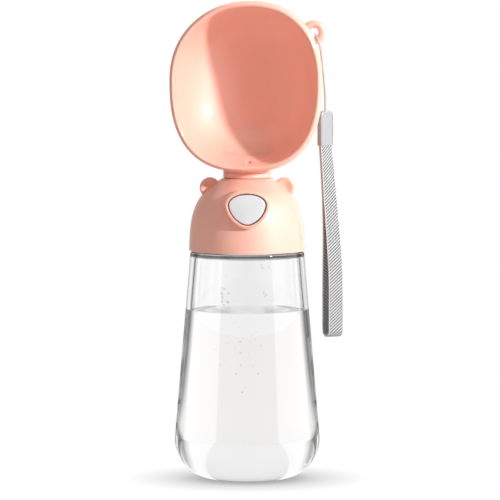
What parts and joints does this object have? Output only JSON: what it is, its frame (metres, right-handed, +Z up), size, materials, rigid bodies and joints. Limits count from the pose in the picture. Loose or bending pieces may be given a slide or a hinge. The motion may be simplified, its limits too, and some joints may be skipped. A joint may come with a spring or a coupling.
{
  "type": "dog travel water bottle",
  "caption": "Clear travel bottle for a dog, with a bear-head dispensing cap, nose push button, spoon-shaped drinking cup and wrist strap.",
  "frame": {"origin": "centre of the bottle's foot, on the surface it stands on", "axes": "+Z up along the bottle's axis; -Y towards the nose button and the cup's mouth; +X towards the side with the strap"},
  "size_m": [0.0895, 0.0748, 0.247],
  "materials": {
    "bottle": "clear moulded plastic, polished",
    "head": "gloss",
    "cup": "gloss",
    "button": "satin gloss",
    "inner_plastic": "plain moulded",
    "silicone": "soft matte",
    "steel": "stainless",
    "cord": "braided",
    "clamp": "gloss",
    "webbing": "woven twill"
  },
  "bodies": {
    "bottle": {"bottle_body": "bottle"},
    "seal": {"mouth_gasket": "silicone"},
    "head": {"head_shell": "head", "screw_collar": "inner_plastic", "vent_valve": "silicone", "valve_body": "inner_plastic", "valve_gasket": "silicone", "valve_screws": "steel", "chamber_plug": "inner_plastic", "chamber_o_ring": "silicone", "return_spring": "steel", "rod_o_ring": "silicone", "rod_bush": "inner_plastic", "nozzle_o_ring": "silicone"},
    "button": {"nose_button": "button", "push_rod": "inner_plastic", "poppet_seal": "silicone"},
    "cup": {"stem": "cup", "stem_o_ring": "silicone", "stem_clip": "steel", "cup_gasket": "silicone", "cup": "cup"},
    "lanyard": {"lanyard_cord": "cord", "strap_clamp": "clamp", "wrist_strap": "webbing"}
  },
  "joints": [
    {"name": "head_lift", "type": "slide", "parent": "bottle", "child": "seal", "axis": [0, 0, 1], "range_m": [0, 0.00541]},
    {"name": "head_turn", "type": "hinge", "parent": "seal", "child": "head", "pos_m": [0, 0, 0.1231], "axis": [0, 0, 1], "range_deg": [0, 540]},
    {"name": "button_press", "type": "slide", "parent": "head", "child": "button", "axis": [0, 1, 0], "range_m": [0, 0.0035], "stiffness_N_per_m": 600, "springref_m": -0.003, "deforming": ["return_spring"]},
    {"name": "cup_swivel", "type": "hinge", "parent": "head", "child": "cup", "pos_m": [0, 0, 0.1522], "axis": [0, 0, 1], "range_deg": [-90, 90]},
    {"name": "lanyard_swing", "type": "hinge", "parent": "cup", "child": "lanyard", "pos_m": [0.0343, -0.00102, 0.2305], "axis": [-0.0558, -0.9984, 0], "range_deg": [0, 120]}
  ],
  "couplings": [
    {"joint": "head_lift", "follows": "head_turn", "m_per_rad": 0.00057296}
  ]
}
